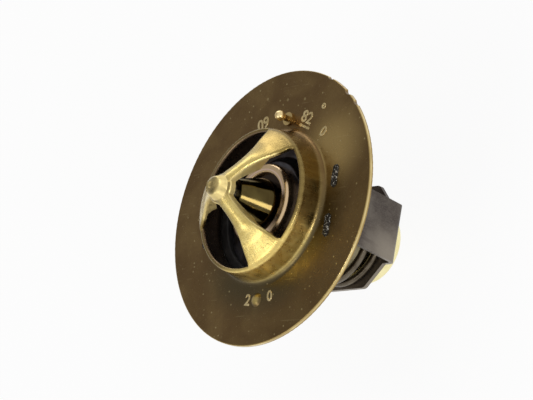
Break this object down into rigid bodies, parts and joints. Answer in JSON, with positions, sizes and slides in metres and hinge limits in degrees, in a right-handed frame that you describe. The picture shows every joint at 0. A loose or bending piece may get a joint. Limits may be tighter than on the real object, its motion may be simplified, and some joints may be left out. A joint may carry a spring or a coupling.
{
  "type": "engine coolant thermostat",
  "caption": "Wax-pellet coolant valve: a flat brass flange with a domed three-legged bridge, and a sprung valve, wax cup and steel stirrup behind it.",
  "frame": {"origin": "centre of the flange's back face, which seats in the engine", "axes": "+Z along the valve's axis towards the bridge's nub, +X through a leg of the stirrup"},
  "size_m": [0.067, 0.067, 0.0533],
  "materials": {
    "flange_brass": "pressed sheet, aged, olive brown",
    "stirrup_steel": "plain strip, grey",
    "spring_steel": "drawn wire",
    "disc_steel": "pressed sheet, blue grey",
    "seal_rubber": "moulded black rubber",
    "cup_brass": "drawn brass with a copper tint",
    "guide_brass": "turned brass",
    "boot_rubber": "moulded black rubber",
    "wax": "solid wax with copper powder",
    "piston_steel": "ground stainless steel",
    "pin_brass": "bright turned brass"
  },
  "bodies": {
    "root": {"flange_bridge": "flange_brass", "stirrup": "stirrup_steel", "piston": "piston_steel", "main_spring": "spring_steel"},
    "valve": {"wax_cup": "cup_brass", "piston_guide": "guide_brass", "rubber_boot": "boot_rubber", "wax_charge": "wax", "valve_disc": "disc_steel", "valve_seal": "seal_rubber"},
    "vent_pin": {"jiggle_pin": "pin_brass"}
  },
  "joints": [
    {"name": "valve_slide", "type": "slide", "parent": "root", "child": "valve", "axis": [0, 0, -1], "range_m": [0, 0.008], "stiffness_N_per_m": 1500, "springref_m": -0.012, "deforming": ["main_spring"]},
    {"name": "jiggle_slide", "type": "slide", "parent": "root", "child": "vent_pin", "axis": [0, 0, 1], "range_m": [0, 0.0013]}
  ]
}
